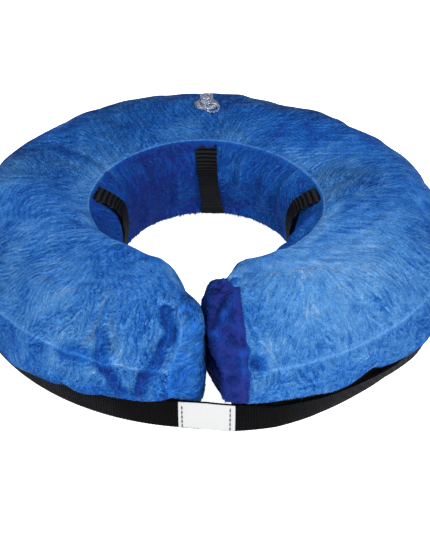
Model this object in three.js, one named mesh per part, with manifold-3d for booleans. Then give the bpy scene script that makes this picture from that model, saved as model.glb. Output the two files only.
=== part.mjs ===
// Inflatable ring recovery collar for a large dog.
// Millimetres, +Z up. The origin is on the neck opening's axis, on the plane the collar rests on.
// The ring is open towards -Y. Angles are in degrees from +X, counter-clockwise seen from above.

import * as THREE from 'three';
import { mergeVertices } from 'three/addons/utils/BufferGeometryUtils.js';
import Module from 'manifold-3d';

const wasm = await Module();
wasm.setup();

// ---------- driving dimensions ----------

const NECK_R = 75;              // neck wall at the base
const INNER_SEAM = [95, 70];    // radius and height of the seam between neck wall and top panel
const CREST = [134, 87];        // highest line of the top panel
const OUTER_SEAM = [193, 50];   // seam between top panel and outer side panel
const WIDEST = [199.5, 34];     // where the side panel bulges most
const RIM_R = 190;              // outer face of the black rim
const RIM_HEIGHT = 26;
const FABRIC = 2;               // plush and backing
const SHEET = 1;                // bladder sheet, with its welds
const SEAM_GAP = 0.4;           // clearance between pieces sewn together
const BLADDER_GAP = 3;          // from the cover's outside to the bladder's outside
const WELD_Z = 38;              // plane where the two bladder sheets are welded

const FRONT = -90;              // the opening
const END_ANGLE = 8;            // from the opening's middle to the seam of each end panel
const END_DOME = { depth: 22, round: 16, meeting: 0.8 };  // how the end panels swell until they meet
const FOLD_ANGLE = 45;          // from the side (0 and 180 degrees) back to each fold
const FOLD_GAP = 0.2;           // half of the clearance at a fold
const RING_STEPS = 48;

const WEBBING = { thickness: 1.5, inner: 191.2, low: 0.5, high: 25.5 };
const HINGE_ANGLE = -97.2;      // where the strap's tail swings
const TAIL_END = -15;
const SEWN_END = -172;
const LOOP_BAND = { inner: 190.2, outer: 190.7, low: 1, high: 27, from: -84, to: -12 };
const HOOK_PATCH = { inner: 190.9, outer: 191.05, low: 3, high: 23, from: -72, to: -17 };
const LABEL = { inner: 192.9, outer: 193.4, halfAngle: 6.2 };

// The neck loops lie just inside the neck wall; angles are their middles.
const NECK_LOOP = { width: 20, thickness: 1.2, standOff: 2, belowSeam: 4, aboveBase: 1 };
const NECK_LOOP_ANGLES = { back: 88, left_rear: 172, left_front: 232, right_rear: 7, right_front: -52 };

const VALVE = { y: CREST[0], flangeR: 11, flange: 1, stemR: 5, boreR: 3.2, low: 72, high: 92, sides: 20 };
const VALVE_HOLES = { cover: 12.5, sheet: 6 };
const PLUG = { headR: 5.6, headLow: 0.3, headHigh: 1.6, shankR: 2.8, tipR: 1.5, shank: 4 };
const TETHER = { width: 4, hingeReach: 7.2, tab: 1, root: 0.8 };
const FLAP = { overlap: 1, thickness: 0.6, gap: 0.3 };

const ZIP = { from: 52, to: 128, inner: 190.3, tapeOuter: 191, coilOuter: 192, middle: 14 };
const ZIP_ROWS = { coilFrom: 0.2, coilTo: 1.8, tapeFrom: 2.1, tapeTo: 11.1 };  // heights from its middle
const ZIP_STOP = { angle: 0.8, half: 2.6, raised: 0.6 };
const SLIDER = { restAngle: 56, face: 192.5, plate: 1.6, nose: 3, shoulder: 5, tail: 4, half: 6 };
const ARCH = { half: 4, leg: 1, rise: 3.6, width: 1.6, sunk: 0.4 };
const PULL = { length: 24, half: 3, thickness: 1, eyeFrom: 0.5, eyeTo: 6, eyeHalf: 1.5, aboveFace: 2.2 };

// ---------- materials ----------

function finish(color, roughness) {
  return new THREE.MeshStandardMaterial({ color, roughness, metalness: 0 });
}

const plush = () => finish(0x1f4fae, 0.95);
const blackNylon = () => finish(0x17181b, 0.8);
const webbing = () => finish(0x1c1d20, 0.75);
const hookAndLoop = () => finish(0x0e0e10, 1);
const clearSheet = () => finish(0xcfdbe6, 0.25);
const clearValve = () => finish(0xdfe7ee, 0.15);
const whiteLabel = () => finish(0xf0efea, 0.8);

// ---------- solids ----------

// A solid from a closed geometry, turned outside out if a profile or a mirror left it inside out.
function toSolid(geometry) {
  const plain = geometry.clone();
  plain.deleteAttribute('normal');
  plain.deleteAttribute('uv');
  const merged = mergeVertices(plain, 1e-4);
  const vertProperties = new Float32Array(merged.attributes.position.array);
  const triVerts = new Uint32Array(merged.index.array);
  const build = () => new wasm.Manifold(new wasm.Mesh({ numProp: 3, vertProperties, triVerts }));
  const solid = build();
  if (solid.volume() > 0) {
    return solid;
  }
  for (let i = 0; i < triVerts.length; i += 3) {
    [triVerts[i], triVerts[i + 1]] = [triVerts[i + 1], triVerts[i]];
  }
  return build();
}

function toGeometry(solid) {
  const mesh = solid.getMesh();
  const geometry = new THREE.BufferGeometry();
  geometry.setAttribute('position', new THREE.BufferAttribute(mesh.vertProperties, 3));
  geometry.setIndex(new THREE.BufferAttribute(mesh.triVerts, 1));
  geometry.computeVertexNormals();
  return geometry;
}

function polar(radius, degrees) {
  const angle = THREE.MathUtils.degToRad(degrees);
  return [radius * Math.cos(angle), radius * Math.sin(angle)];
}

// Turns a closed outline of [radius, height] points once round the Z axis.
function revolve(outline) {
  const closed = [...outline, outline[0]].map(([r, z]) => new THREE.Vector2(r, z));
  return toSolid(new THREE.LatheGeometry(closed, RING_STEPS).rotateX(Math.PI / 2));
}

// A tall wedge between two angles, used to keep one sector of a ring.
function wedge(from, to) {
  const reach = 600;
  const middle = (from + to) / 2;
  const corners = [[0, 0], polar(reach, from), polar(reach, middle), polar(reach, to)];
  const shape = new THREE.Shape(corners.map(([x, y]) => new THREE.Vector2(x, y)));
  const geometry = new THREE.ExtrudeGeometry(shape, { depth: reach, bevelEnabled: false });
  return toSolid(geometry.translate(0, 0, -reach / 2));
}

function sector(outline, from, to) {
  return revolve(outline).intersect(wedge(from, to));
}

// Moves a line of [radius, height] points sideways; a positive distance moves it to its right-hand side.
function offsetLine(points, distance, closed = false) {
  const count = points.length;
  const edges = points.map((point, i) => edgeNormal(point, points[(i + 1) % count]));
  return points.map((point, i) => {
    const after = closed || i < count - 1 ? edges[i] : edges[i - 1];
    const before = closed || i > 0 ? edges[(i + count - 1) % count] : after;
    const scale = distance / (1 + before[0] * after[0] + before[1] * after[1]);
    return [point[0] + (before[0] + after[0]) * scale, point[1] + (before[1] + after[1]) * scale];
  });
}

function edgeNormal(from, to) {
  const dr = to[0] - from[0];
  const dz = to[1] - from[1];
  const length = Math.hypot(dr, dz);
  return [dz / length, -dr / length];
}

// A panel of even thickness whose outside follows the line.
function panelOutline(line, thickness) {
  return [...line, ...offsetLine(line, thickness).reverse()];
}

function rectangle(r0, r1, z0, z1) {
  return [[r0, z0], [r1, z0], [r1, z1], [r0, z1]];
}

// Shortens a line at both ends, for the clearance at its seams.
function trimmed(line, start, end) {
  const shift = (from, to, by) => {
    const length = Math.hypot(to[0] - from[0], to[1] - from[1]);
    return [from[0] + (to[0] - from[0]) * by / length, from[1] + (to[1] - from[1]) * by / length];
  };
  const last = line.length - 1;
  return [shift(line[0], line[1], start), ...line.slice(1, last), shift(line[last], line[last - 1], end)];
}

// ---------- the ring's cross-section, from the neck opening outwards ----------

const NECK_LINE = [[NECK_R, FABRIC], [NECK_R - 2.5, 28], [NECK_R + 2.5, 52], INNER_SEAM];
const TOP_LINE = [INNER_SEAM, [106, 79], [120, 85], CREST, [150, 85], [166, 79], [181, 67], OUTER_SEAM];
const SIDE_LINE = [OUTER_SEAM, [198, 42], WIDEST, [197, RIM_HEIGHT + 2.6], [RIM_R, RIM_HEIGHT + 2]];
const COVER_OUTLINE = [
  [NECK_R, 0],
  ...NECK_LINE.slice(1),
  ...TOP_LINE.slice(1),
  ...SIDE_LINE.slice(1),
  [RIM_R, 0],
];
// The bladder follows the cover more coarsely, always on its inside.
const BLADDER_GUIDE = [
  [NECK_R, 0],
  NECK_LINE[1],
  INNER_SEAM,
  TOP_LINE[2],
  CREST,
  TOP_LINE[4],
  TOP_LINE[6],
  WIDEST,
  [RIM_R, RIM_HEIGHT + 2],
  [RIM_R, 0],
];
// The end panels leave out the step under the side panel, so that they clear the strap.
const END_OUTLINE = [
  ...BLADDER_GUIDE.slice(0, 7),
  [WIDEST[0] - 3.5, WIDEST[1] + 6],
  [RIM_R, RIM_HEIGHT + 1],
  [RIM_R, 0],
];
const BLADDER_OUTSIDE = offsetLine(BLADDER_GUIDE, BLADDER_GAP, true);
const BLADDER_INSIDE = offsetLine(BLADDER_GUIDE, BLADDER_GAP + SHEET, true);

const neckPanel = panelOutline(trimmed(NECK_LINE, SEAM_GAP, SEAM_GAP), FABRIC);
const topPanel = panelOutline(trimmed(TOP_LINE, SEAM_GAP, SEAM_GAP), FABRIC);
const sidePanel = panelOutline(trimmed(SIDE_LINE, SEAM_GAP, 0), FABRIC);
const basePanel = [
  [NECK_R + SEAM_GAP, 0],
  [RIM_R, 0],
  [RIM_R, RIM_HEIGHT],
  [RIM_R - FABRIC, RIM_HEIGHT],
  [RIM_R - FABRIC, FABRIC],
  [NECK_R + SEAM_GAP, FABRIC],
];

// ---------- sections: the back, and the two arms that fold out from it ----------

const END_SEAM_GAP = 0.2;       // degrees from an end seam to where the arm's panels start
const BLADDER_TIP = { from: 0.6, wall: 0.5 };   // degrees from an end seam to the bladder's closed tip
const SECTIONS = {
  back: { from: FOLD_ANGLE + FOLD_GAP, to: 180 - FOLD_ANGLE - FOLD_GAP, tips: [0, 0] },
  left: { from: 180 - FOLD_ANGLE + FOLD_GAP, to: 360 + FRONT - END_ANGLE, tips: [0, 1] },
  right: { from: FRONT + END_ANGLE, to: FOLD_ANGLE - FOLD_GAP, tips: [1, 0] },
};

const collar = new THREE.Group();

function add(parent, name, geometry, material) {
  const mesh = new THREE.Mesh(geometry, material);
  mesh.name = name;
  parent.add(mesh);
}

function addSolid(parent, name, solid, material) {
  add(parent, name, toGeometry(solid), material);
}

// A wide slab between two heights.
function slab(low, high) {
  const size = 1000;
  return toSolid(new THREE.BoxGeometry(size, size, high - low).translate(0, 0, (low + high) / 2));
}

function valveHole(radius) {
  const depth = 40;
  const geometry = new THREE.CylinderGeometry(radius, radius, depth, VALVE.sides).rotateX(Math.PI / 2);
  return toSolid(geometry.translate(0, VALVE.y, CREST[1]));
}

function bladder(section) {
  const openEnd = -1;
  const outer = section.tips.map((tip) => tip * BLADDER_TIP.from);
  const inner = section.tips.map((tip) => (tip ? BLADDER_TIP.from + BLADDER_TIP.wall : openEnd));
  const outside = sector(BLADDER_OUTSIDE, section.from + outer[0], section.to - outer[1]);
  const inside = sector(BLADDER_INSIDE, section.from + inner[0], section.to - inner[1]);
  return outside.subtract(inside);
}

function bladderSheets(section) {
  const weldGap = 0.2;
  const farAway = 300;
  const both = bladder(section);
  return {
    upper: both.intersect(slab(WELD_Z + weldGap, farAway)),
    lower: both.intersect(slab(-farAway, WELD_Z - weldGap)),
  };
}

// One end's swollen form, inset evenly from the cover. Side is +1 for the right arm and -1 for the left.
function endForm(side, inset) {
  const shape = new THREE.Shape(END_OUTLINE.map(([r, z]) => new THREE.Vector2(r, z)));
  const geometry = new THREE.ExtrudeGeometry(shape, {
    depth: 1,
    bevelThickness: END_DOME.depth - inset,
    bevelSize: END_DOME.round,
    bevelOffset: -END_DOME.round - inset,
    bevelSegments: 5,
  });
  geometry.rotateX(Math.PI / 2).rotateZ(THREE.MathUtils.degToRad(FRONT + END_ANGLE));
  if (side < 0) {
    geometry.scale(-1, 1, 1);
  }
  const reach = 500;
  const meeting = new THREE.BoxGeometry(reach, 2 * reach, reach);
  meeting.translate(side * (reach / 2 + END_DOME.meeting + inset), 0, 0);
  return toSolid(geometry).intersect(toSolid(meeting));
}

function endPanel(side) {
  const seam = FRONT + side * END_ANGLE;
  const pastTheOpening = 30;
  const beyond = FRONT - side * pastTheOpening;
  const kept = wedge(Math.min(seam, beyond), Math.max(seam, beyond));
  return endForm(side, 0).intersect(kept).subtract(endForm(side, FABRIC));
}

function buildSection(name, section) {
  const group = new THREE.Group();
  collar.add(group);
  const from = section.from + section.tips[0] * END_SEAM_GAP;
  const to = section.to - section.tips[1] * END_SEAM_GAP;
  const sheets = bladderSheets(section);
  let top = sector(topPanel, from, to);
  if (name === 'back') {
    top = top.subtract(valveHole(VALVE_HOLES.cover));
    sheets.upper = sheets.upper.subtract(valveHole(VALVE_HOLES.sheet));
  }
  addSolid(group, `top_panel_${name}`, top, plush());
  addSolid(group, `neck_wall_${name}`, sector(neckPanel, from, to), plush());
  addSolid(group, `side_panel_${name}`, sector(sidePanel, from, to), plush());
  addSolid(group, `base_panel_${name}`, sector(basePanel, from, to), blackNylon());
  addSolid(group, `bladder_upper_${name}`, sheets.upper, clearSheet());
  addSolid(group, `bladder_lower_${name}`, sheets.lower, clearSheet());
  return group;
}

const groups = {};
for (const [name, section] of Object.entries(SECTIONS)) {
  groups[name] = buildSection(name, section);
}
addSolid(groups.right, 'end_panel_right', endPanel(1), plush());
addSolid(groups.left, 'end_panel_left', endPanel(-1), plush());

// ---------- neck loops ----------

function addNeckLoops() {
  const wall = trimmed(NECK_LINE, NECK_LOOP.aboveBase, NECK_LOOP.belowSeam);
  const outline = panelOutline(offsetLine(wall, -NECK_LOOP.standOff), NECK_LOOP.thickness);
  const halfAngle = THREE.MathUtils.radToDeg(NECK_LOOP.width / 2 / NECK_R);
  for (const [name, angle] of Object.entries(NECK_LOOP_ANGLES)) {
    const solid = sector(outline, angle - halfAngle, angle + halfAngle);
    addSolid(groups[name.split('_')[0]], `neck_loop_${name}`, solid, webbing());
  }
}

addNeckLoops();

// ---------- closure strap ----------

function band({ inner, outer, low, high }, from, to) {
  return sector(rectangle(inner, outer, low, high), from, to);
}

function addClosure() {
  const strap = { ...WEBBING, outer: WEBBING.inner + WEBBING.thickness };
  const label = { ...LABEL, low: WEBBING.low, high: WEBBING.high };
  const hingeGap = 0.08;
  const sewn = band(strap, SEWN_END, HINGE_ANGLE - hingeGap);
  const tail = band(strap, HINGE_ANGLE + hingeGap, TAIL_END);
  addSolid(groups.left, 'strap_sewn', sewn, webbing());
  addSolid(collar, 'strap_tail', tail, webbing());
  addSolid(collar, 'hook_patch', band(HOOK_PATCH, HOOK_PATCH.from, HOOK_PATCH.to), hookAndLoop());
  addSolid(groups.right, 'loop_band', band(LOOP_BAND, LOOP_BAND.from, LOOP_BAND.to), hookAndLoop());
  const labelBand = band(label, FRONT - LABEL.halfAngle, FRONT + LABEL.halfAngle);
  addSolid(collar, 'woven_label', labelBand, whiteLabel());
}

addClosure();

// ---------- inflation valve ----------

function turned(points) {
  const profile = points.map(([r, z]) => new THREE.Vector2(r, z));
  return toSolid(new THREE.LatheGeometry(profile, VALVE.sides).rotateX(Math.PI / 2));
}

function block(sizeX, sizeY, sizeZ, y, z) {
  return toSolid(new THREE.BoxGeometry(sizeX, sizeY, sizeZ).translate(0, y, z));
}

function valveStem() {
  const { flangeR, flange, stemR, boreR, low, high } = VALVE;
  const flangeLow = CREST[1] - FABRIC;
  const fillet = 0.6;
  const stem = turned([
    [boreR, low],
    [stemR, low],
    [stemR, flangeLow],
    [flangeR, flangeLow],
    [flangeR, flangeLow + flange],
    [stemR + fillet, flangeLow + flange],
    [stemR, flangeLow + flange + fillet],
    [stemR, high],
    [boreR, high],
    [boreR, low],
  ]);
  const outer = -TETHER.hingeReach - 1;
  const inner = -stemR + 0.5;
  const root = block(TETHER.width, inner - outer, TETHER.root, (inner + outer) / 2, high - 0.7);
  return stem.add(root);
}

// The plug's shank tapers so that it swings clear of the bore about the tether's hinge.
function valvePlug() {
  const { headR, headLow, headHigh, shankR, tipR, shank } = PLUG;
  const top = VALVE.high;
  const plug = turned([
    [0, top - shank],
    [tipR, top - shank],
    [shankR, top + headLow],
    [headR, top + headLow],
    [headR, top + headHigh],
    [0, top + headHigh],
  ]);
  const outer = -TETHER.hingeReach - 0.4;
  const inner = -headR + 1.6;
  const height = top + headLow + TETHER.tab / 2;
  return plug.add(block(TETHER.width, inner - outer, TETHER.tab, (inner + outer) / 2, height));
}

function valveFlap() {
  const radius = VALVE.boreR + FLAP.overlap;
  const geometry = new THREE.CylinderGeometry(radius, radius, FLAP.thickness, VALVE.sides);
  return geometry.rotateX(Math.PI / 2).translate(0, 0, VALVE.low - FLAP.gap - FLAP.thickness / 2);
}

function addValve() {
  const valve = new THREE.Group();
  valve.position.set(0, VALVE.y, 0);
  collar.add(valve);
  addSolid(valve, 'valve_body', valveStem(), clearValve());
  addSolid(valve, 'valve_plug', valvePlug(), clearValve());
  add(valve, 'valve_flap', valveFlap(), clearValve());
}

addValve();

// ---------- zipper on the rim, at the back ----------

function shapeOf(points) {
  return new THREE.Shape(points.map(([x, y]) => new THREE.Vector2(x, y)));
}

// A plate that faces outwards from the ring: its shape's x runs along the zipper and its y runs up.
function plate(shape, depth, radius) {
  const geometry = new THREE.ExtrudeGeometry(shape, { depth, bevelEnabled: false });
  geometry.rotateX(Math.PI / 2).rotateZ(Math.PI / 2);
  return toSolid(geometry.translate(radius, 0, ZIP.middle));
}

function zipRow(outer, from, to, side) {
  const [a, b] = [ZIP.middle + side * from, ZIP.middle + side * to];
  return { inner: ZIP.inner, outer, low: Math.min(a, b), high: Math.max(a, b) };
}

function addZipTapes() {
  const coilInset = 1;
  for (const [name, side] of [['upper', 1], ['lower', -1]]) {
    const coil = zipRow(ZIP.coilOuter, ZIP_ROWS.coilFrom, ZIP_ROWS.coilTo, side);
    const tape = zipRow(ZIP.tapeOuter, ZIP_ROWS.tapeFrom, ZIP_ROWS.tapeTo, side);
    addSolid(groups.back, `zipper_tape_${name}`, band(tape, ZIP.from, ZIP.to), blackNylon());
    const coilSolid = band(coil, ZIP.from + coilInset, ZIP.to - coilInset);
    addSolid(groups.back, `zipper_coil_${name}`, coilSolid, blackNylon());
  }
}

function addZipStops() {
  const stop = {
    inner: ZIP.tapeOuter + 0.2,
    outer: ZIP.coilOuter + ZIP_STOP.raised,
    low: ZIP.middle - ZIP_STOP.half,
    high: ZIP.middle + ZIP_STOP.half,
  };
  const closedEnd = band(stop, ZIP.from, ZIP.from + ZIP_STOP.angle);
  const openEnd = band(stop, ZIP.to - ZIP_STOP.angle, ZIP.to);
  addSolid(groups.back, 'zipper_stop_closed_end', closedEnd, blackNylon());
  addSolid(groups.back, 'zipper_stop_open_end', openEnd, blackNylon());
}

// The slider's body with the arch that carries its pull.
function zipSlider() {
  const { nose, shoulder, tail, half } = SLIDER;
  const outline = [[-half, -nose], [0, -shoulder], [half, -tail], [half, tail], [0, shoulder], [-half, nose]];
  const body = plate(shapeOf(outline), SLIDER.plate, SLIDER.face);
  const under = ARCH.rise - ARCH.leg;
  const opening = ARCH.half - ARCH.leg;
  const archShape = shapeOf([
    [0, -ARCH.half],
    [ARCH.rise, -ARCH.half],
    [ARCH.rise, ARCH.half],
    [0, ARCH.half],
    [0, opening],
    [under, opening],
    [under, -opening],
    [0, -opening],
  ]);
  const arch = new THREE.ExtrudeGeometry(archShape, { depth: ARCH.width, bevelEnabled: false });
  arch.translate(SLIDER.face + SLIDER.plate - ARCH.sunk, 0, ZIP.middle - ARCH.width / 2);
  return body.add(toSolid(arch));
}

function zipPull() {
  const { length, half, thickness, eyeFrom, eyeTo, eyeHalf, aboveFace } = PULL;
  const taper = 4;
  const shape = shapeOf([
    [-eyeFrom, -half],
    [length - taper, -half],
    [length, -half / 2],
    [length, half / 2],
    [length - taper, half],
    [-eyeFrom, half],
  ]);
  const eye = [[eyeFrom, -eyeHalf], [eyeFrom, eyeHalf], [eyeTo, eyeHalf], [eyeTo, -eyeHalf]];
  shape.holes.push(new THREE.Path(eye.map(([x, y]) => new THREE.Vector2(x, y))));
  return plate(shape, thickness, SLIDER.face + aboveFace);
}

function addZipper() {
  addZipTapes();
  addZipStops();
  const runner = new THREE.Group();
  runner.rotation.z = THREE.MathUtils.degToRad(SLIDER.restAngle);
  collar.add(runner);
  addSolid(runner, 'zipper_slider', zipSlider(), blackNylon());
  addSolid(runner, 'zipper_pull', zipPull(), blackNylon());
}

addZipper();

export default collar;
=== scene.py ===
"""A plush inflatable ring collar: the fabric, pile, webbing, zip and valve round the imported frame."""
import math

import bmesh
import bpy
import numpy as np
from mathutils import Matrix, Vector


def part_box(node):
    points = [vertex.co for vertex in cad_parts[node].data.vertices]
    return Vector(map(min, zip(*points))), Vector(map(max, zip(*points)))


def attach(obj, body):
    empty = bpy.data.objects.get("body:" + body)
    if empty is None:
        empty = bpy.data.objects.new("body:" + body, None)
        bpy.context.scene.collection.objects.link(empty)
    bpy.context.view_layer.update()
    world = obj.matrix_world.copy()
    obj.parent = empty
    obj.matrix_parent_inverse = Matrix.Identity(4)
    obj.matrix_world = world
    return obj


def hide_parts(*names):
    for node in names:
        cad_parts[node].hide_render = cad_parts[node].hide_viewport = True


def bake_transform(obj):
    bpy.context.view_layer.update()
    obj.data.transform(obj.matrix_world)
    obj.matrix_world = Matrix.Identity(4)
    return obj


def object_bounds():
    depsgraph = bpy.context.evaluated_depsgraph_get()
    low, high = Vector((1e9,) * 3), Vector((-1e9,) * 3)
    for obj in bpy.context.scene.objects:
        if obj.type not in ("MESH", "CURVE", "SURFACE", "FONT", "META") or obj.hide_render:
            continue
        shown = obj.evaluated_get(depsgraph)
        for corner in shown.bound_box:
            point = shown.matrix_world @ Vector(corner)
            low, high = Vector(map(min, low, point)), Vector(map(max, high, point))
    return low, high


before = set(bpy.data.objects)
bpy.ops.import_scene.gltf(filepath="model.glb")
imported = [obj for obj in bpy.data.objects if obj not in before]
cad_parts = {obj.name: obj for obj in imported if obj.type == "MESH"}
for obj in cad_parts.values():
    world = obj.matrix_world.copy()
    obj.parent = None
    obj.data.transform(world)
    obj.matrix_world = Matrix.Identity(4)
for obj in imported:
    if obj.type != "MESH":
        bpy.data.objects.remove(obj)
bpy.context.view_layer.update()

MM = 0.001
LEFT = -1
RIGHT = 1
SIDES = {LEFT: "left", RIGHT: "right"}


# ---------------------------------------------------------------- sizes, in mm, from the frame

def reach(node):
    """Least and greatest radius, and lowest and highest point, of a CAD node, in mm."""
    points = np.array([v.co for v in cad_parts[node].data.vertices]) / MM
    radius = np.hypot(points[:, 0], points[:, 1])
    return radius.min(), radius.max(), points[:, 2].min(), points[:, 2].max()


NECK_RADIUS, NECK_TOP_RADIUS, NECK_FOOT, INNER_SEAM = reach("neck_wall_back")
_, OUTER_SEAM_RADIUS, _, CREST = reach("top_panel_back")
_, WIDEST, HEM, OUTER_SEAM = reach("side_panel_back")
_, RIM_RADIUS, _, RIM_TOP = reach("base_panel_back")
STRAP_INNER, STRAP_OUTER, STRAP_FOOT, STRAP_TOP = reach("strap_tail")

VALVE_NEAR, VALVE_FAR, _, _ = reach("valve_body")
VALVE = (0, (VALVE_NEAR + VALVE_FAR) / 2)
VALVE_RADIUS = (VALVE_FAR - VALVE_NEAR) / 2
PILE_DEPTH = 1.6        # how far the backing lies under the nap's surface
SEAM_DEPTH = 2.8        # and how deep the seams lie
END_SEAM = 7.5          # degrees from the gap to the seam of an end panel
GAP = 0.5               # half the gap between the two ends
FLANGE_FOOT = 85.0      # underside of the valve's flange
BACK_DROP = 2.5         # the crest lies this much lower behind than in front
SIDE_DROP = 6.0         # this much lower at the sides
BACK_RIGHT_DROP = 2.5   # and again between the back and the right side
BACK_FOOT = 8.5         # the foot of the neck wall stands this much further out behind
MIDDLE_RADIUS = 155.0   # where the distance across an arm from the gap is taken
DOME_HEIGHT = 42.0      # of the middle of an end panel
SEAM_STAND = 1.6        # how far a seam's cord stands above the panels' edges
FOLD_SHARE = 0.6        # how much of the depths in FOLDS the cloth takes
TAIL_START = -172.8     # degrees from the back: where the strap leaves the left arm
TAIL_BEND = 12.0        # mm of strap that take the turn
STRAP_LIGHT_FROM = RIM_RADIUS * MM * math.radians(165)     # metres from the back: from here the strap is painted lighter grey, as painted light
STRAP_LIGHT_TO = RIM_RADIUS * MM * math.radians(142)       # from the first to the second
WELD_HEIGHT = 38.0      # of the air chamber's welded edges
AIR_GAP = 12.0          # between the air chamber and the cover's drawn shape
WEB_PITCH = 2.1         # of the picks of the webbing
WEB_STEP = 0.55         # between the points that draw them
LABEL_HALF = 5.7        # degrees from the gap to an edge of the label
LOOP_WIDTH = 20.0       # of a neck loop
ZIP_HALF = 38.0         # degrees from the back to an end of the zip

COLUMN_STEP = 2.0
ROWS = {"neck": 12, "top": 22, "side": 9, "base": 12}
DOME_LEVELS = 9
PUFF_STEPS = 20         # of the cloth simulation
PILE_SHARE = 1.0
MOST_TUFTS = 60000      # in one piece


# ---------------------------------------------------------------- small mesh helpers

def new_object(name, points, faces):
    """A smooth mesh object from points in mm."""
    mesh = bpy.data.meshes.new(name)
    mesh.from_pydata((np.asarray(points) * MM).tolist(), [], [list(map(int, f)) for f in faces])
    mesh.validate()
    mesh.shade_smooth()
    made = bpy.data.objects.new(name, mesh)
    bpy.context.scene.collection.objects.link(made)
    return made


def grid_faces(rows, columns, wrap_rows=False, wrap_columns=False):
    """Quads of a grid whose point (i, j) is number i * columns + j."""
    i = np.arange(rows if wrap_rows else rows - 1)
    j = np.arange(columns if wrap_columns else columns - 1)
    i, j = np.meshgrid(i, j, indexing="ij")
    following_i = (i + 1) % rows
    following_j = (j + 1) % columns
    quads = (i * columns + j, i * columns + following_j,
             following_i * columns + following_j, following_i * columns + j)
    return np.stack([q.ravel() for q in quads], axis=1).tolist()


def smooth_line(points, count):
    """A smooth line through the points, cut into count evenly spaced points."""
    points = np.asarray(points, float)
    padded = np.vstack([2 * points[0] - points[1], points, 2 * points[-1] - points[-2]])
    fine = []
    for k in range(1, len(padded) - 2):
        a, b, c, d = padded[k - 1:k + 3]
        for t in np.linspace(0, 1, 24, endpoint=False):
            fine.append(0.5 * (2 * b + (c - a) * t + (2 * a - 5 * b + 4 * c - d) * t ** 2
                               + (3 * b - a - 3 * c + d) * t ** 3))
    fine = np.array(fine + [points[-1]])
    travelled = np.r_[0, np.cumsum(np.linalg.norm(np.diff(fine[:, :2], axis=0), axis=1))]
    even = np.linspace(0, travelled[-1], count)
    return np.stack([np.interp(even, travelled, fine[:, k]) for k in range(fine.shape[1])], axis=1)


def radius_of(points):
    return np.hypot(points[:, 0], points[:, 1])


def turn_of(points):
    """Angle from the back of the ring, positive towards +X, in radians."""
    return np.arctan2(points[:, 0], points[:, 1])


def unit(vectors):
    return vectors / np.linalg.norm(vectors, axis=1)[:, None]


def laid_flat(vectors, normals):
    """What is left of the vectors without their part along the normals."""
    return vectors - normals * (vectors * normals).sum(axis=1)[:, None]


def smoothstep(low, high, value):
    """0 below low, 1 above high and a smooth rise between them."""
    share = np.clip((value - low) / (high - low), 0, 1)
    return share * share * (3 - 2 * share)


def waves(points, size, seed, count=9):
    """Smooth noise of about unit strength, made of sine waves of about the given length in mm."""
    rng = np.random.default_rng(seed)
    directions = unit(rng.normal(size=(count, 3)))
    lengths = size * rng.uniform(0.7, 1.6, count)
    phases = rng.uniform(0, 2 * math.pi, count)
    total = np.zeros(len(points))
    for direction, length, phase in zip(directions, lengths, phases):
        total += np.sin(2 * math.pi * (points @ direction) / length + phase)
    return total / math.sqrt(count / 2)


def vertex_array(target, what="co"):
    """The vertices of a mesh object in mm, or their normals."""
    flat = np.zeros(len(target.data.vertices) * 3, np.float32)
    if what == "co":
        target.data.vertices.foreach_get("co", flat)
        return flat.reshape(-1, 3).astype(float) / MM
    target.data.vertex_normals.foreach_get("vector", flat)
    return flat.reshape(-1, 3).astype(float)


def set_vertices(target, points):
    target.data.vertices.foreach_set("co", (points * MM).astype(np.float32).ravel())
    target.data.update()


# ---------------------------------------------------------------- the frame's CAD nodes, and pieces baked in place

def cad_nodes(kind, side):
    """The CAD nodes that one half of a piece replaces: the left half also takes the back one."""
    return [f"{kind}_{SIDES[side]}"] + ([f"{kind}_back"] if side == LEFT else [])


def follow_arm(piece):
    """Bakes a piece of one half in place; nothing bends it at its fold between the back and its arm."""
    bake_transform(piece)


def follow_tail(piece):
    """Bakes a piece of the strap's loose end in place; the hinge where the strap leaves the left arm is
    worked out, but nothing turns the piece back.
    """
    hinge = math.radians(TAIL_START)
    start = polar(STRAP_OUTER, hinge, 0) * MM
    end = polar(STRAP_OUTER, hinge - TAIL_BEND / STRAP_OUTER, 0) * MM
    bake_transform(piece)


def polar(radius, turn, z):
    """A point at an angle from the back of the ring (0), positive towards +X, in radians."""
    return np.stack(np.broadcast_arrays(radius * np.sin(turn), radius * np.cos(turn), z), axis=-1)


# ---------------------------------------------------------------- node materials

def material(name):
    made = bpy.data.materials.new(name)
    made.use_nodes = True
    tree = made.node_tree
    return made, tree, tree.nodes["Principled BSDF"]


def node(tree, kind, inputs=None, **settings):
    """A new node; an input is a value or the socket it is fed from."""
    made = tree.nodes.new(kind)
    for key, value in settings.items():
        setattr(made, key, value)
    for key, value in (inputs or {}).items():
        if isinstance(value, bpy.types.NodeSocket):
            tree.links.new(value, made.inputs[key])
        else:
            made.inputs[key].default_value = value
    return made


def ramp(tree, factor, stops):
    """A colour ramp with (position, colour) stops."""
    made = node(tree, "ShaderNodeValToRGB", {"Fac": factor})
    elements = made.color_ramp.elements
    while len(elements) < len(stops):
        elements.new(0.5)
    for element, (position, colour) in zip(elements, stops):
        element.position = position
        element.color = (*colour, 1)
    return made.outputs["Color"]


def maths(tree, operation, a, b=0.0, c=0.0):
    return node(tree, "ShaderNodeMath", {0: a, 1: b, 2: c}, operation=operation).outputs[0]


# A pattern is a function that builds its nodes in a tree and returns a socket from about 0 to 1.

def noise(scale, detail):
    """Noise in object space, per metre."""
    def build(tree):
        place = node(tree, "ShaderNodeTexCoord").outputs["Object"]
        made = node(tree, "ShaderNodeTexNoise", {"Vector": place, "Scale": scale, "Detail": detail})
        return made.outputs["Fac"]
    return build


def bands(scale, distortion, direction):
    """Soft parallel bands in object space, per metre."""
    def build(tree):
        place = node(tree, "ShaderNodeTexCoord").outputs["Object"]
        inputs = {"Vector": place, "Scale": scale, "Distortion": distortion}
        return node(tree, "ShaderNodeTexWave", inputs, bands_direction=direction).outputs["Fac"]
    return build


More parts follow.
